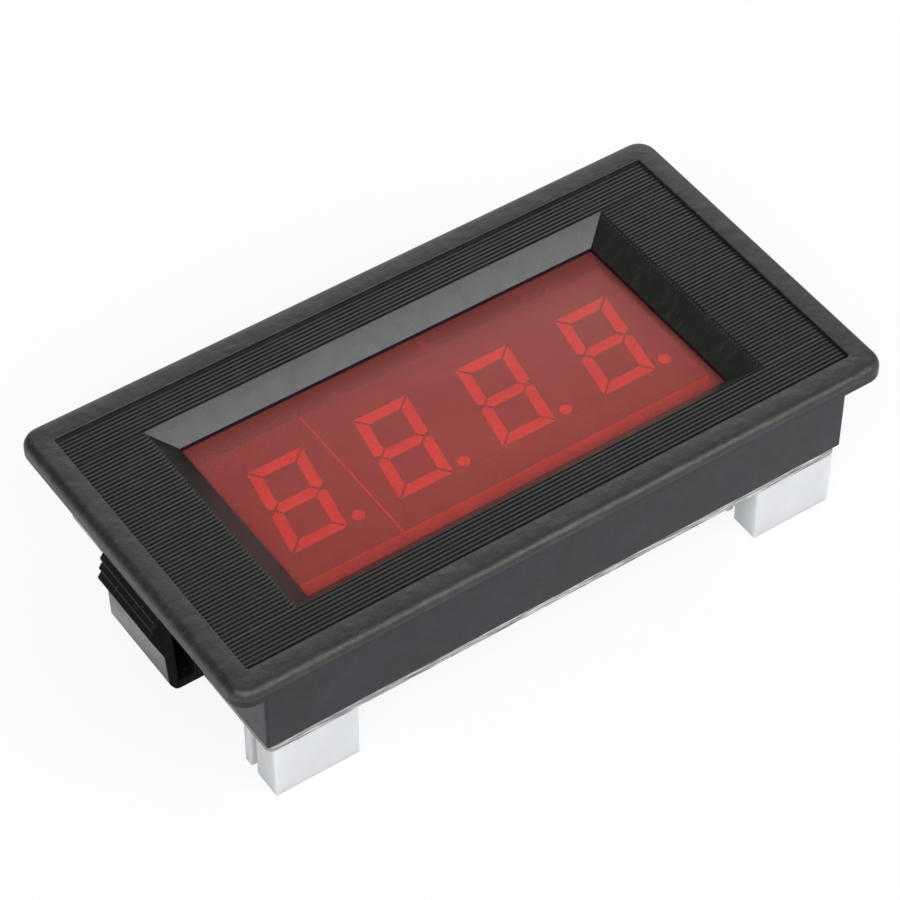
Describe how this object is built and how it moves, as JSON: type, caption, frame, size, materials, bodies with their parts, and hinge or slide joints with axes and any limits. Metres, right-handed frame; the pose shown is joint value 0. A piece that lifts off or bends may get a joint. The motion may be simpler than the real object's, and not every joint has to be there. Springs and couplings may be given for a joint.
{
  "type": "digital panel meter",
  "caption": "Panel-mounted digital meter: ribbed black bezel, red window over seven-segment digits, side spring clips and two plug headers on the back of its board.",
  "frame": {"origin": "centre of the plane in which the flange's back seats on the panel", "axes": "+Z out of the face towards the reader, +X along the digits from left to right, +Y to the digits' tops"},
  "size_m": [0.08, 0.042, 0.0199],
  "materials": {
    "black_abs": "satin moulded",
    "red_acrylic": "clear red, polished",
    "display_grey": "painted face",
    "segment_epoxy": "diffused",
    "tinned_steel": "tin plated",
    "green_laminate": "solder mask",
    "solder": "bright, flowed",
    "zinc_steel": "zinc plated",
    "white_nylon": "natural moulded",
    "tinned_brass": "tin plated",
    "black_acetal": "moulded",
    "black_epoxy": "transfer moulded",
    "nickel_steel": "drawn, nickel plated",
    "blue_plastic": "moulded",
    "cream_plastic": "moulded",
    "sleeved_aluminium": "plastic sleeve on a drawn can",
    "black_rubber": "pressed",
    "resistor_ceramic": "glazed black",
    "capacitor_ceramic": "fired tan"
  },
  "bodies": {
    "meter": {"bezel_housing": "black_abs", "filter_window": "red_acrylic", "single_display_case": "display_grey", "single_display_segments": "segment_epoxy", "single_display_pins": "tinned_steel", "triple_display_case": "display_grey", "triple_display_segments": "segment_epoxy", "triple_display_pins": "tinned_steel", "main_pcb": "green_laminate", "solder_joints": "solder", "pcb_screws": "zinc_steel", "left_header_housing": "white_nylon", "left_header_pins": "tinned_brass", "right_header_housing": "white_nylon", "right_header_pins": "tinned_brass", "controller_body": "black_epoxy", "controller_leads": "tinned_steel", "driver_bodies": "black_epoxy", "driver_leads": "tinned_steel", "amplifier_body": "black_epoxy", "amplifier_leads": "tinned_steel", "regulator_body": "black_epoxy", "regulator_leads": "tinned_steel", "transistor_bodies": "black_epoxy", "transistor_leads": "tinned_steel", "diode_body": "black_epoxy", "diode_leads": "tinned_steel", "crystal_can": "nickel_steel", "crystal_base": "nickel_steel", "crystal_leads": "tinned_steel", "trimmer_body": "blue_plastic", "trimmer_pins": "tinned_steel", "capacitor_cans": "sleeved_aluminium", "capacitor_bungs": "black_rubber", "capacitor_leads": "tinned_steel", "chip_resistors": "resistor_ceramic", "chip_capacitors": "capacitor_ceramic"},
    "left_clip": {"left_mounting_clip": "black_acetal"},
    "right_clip": {"right_mounting_clip": "black_acetal"},
    "trimmer_screw": {"trimmer_rotor": "cream_plastic"}
  },
  "joints": [
    {"name": "left_clip_slide", "type": "slide", "parent": "meter", "child": "left_clip", "axis": [0, 0, -1], "range_m": [0, 0.009]},
    {"name": "right_clip_slide", "type": "slide", "parent": "meter", "child": "right_clip", "axis": [0, 0, -1], "range_m": [0, 0.009]},
    {"name": "trimmer_turn", "type": "hinge", "parent": "meter", "child": "trimmer_screw", "pos_m": [0.007, 0.0142, -0.0155], "axis": [0, 0, -1], "range_deg": [-120, 120]}
  ]
}
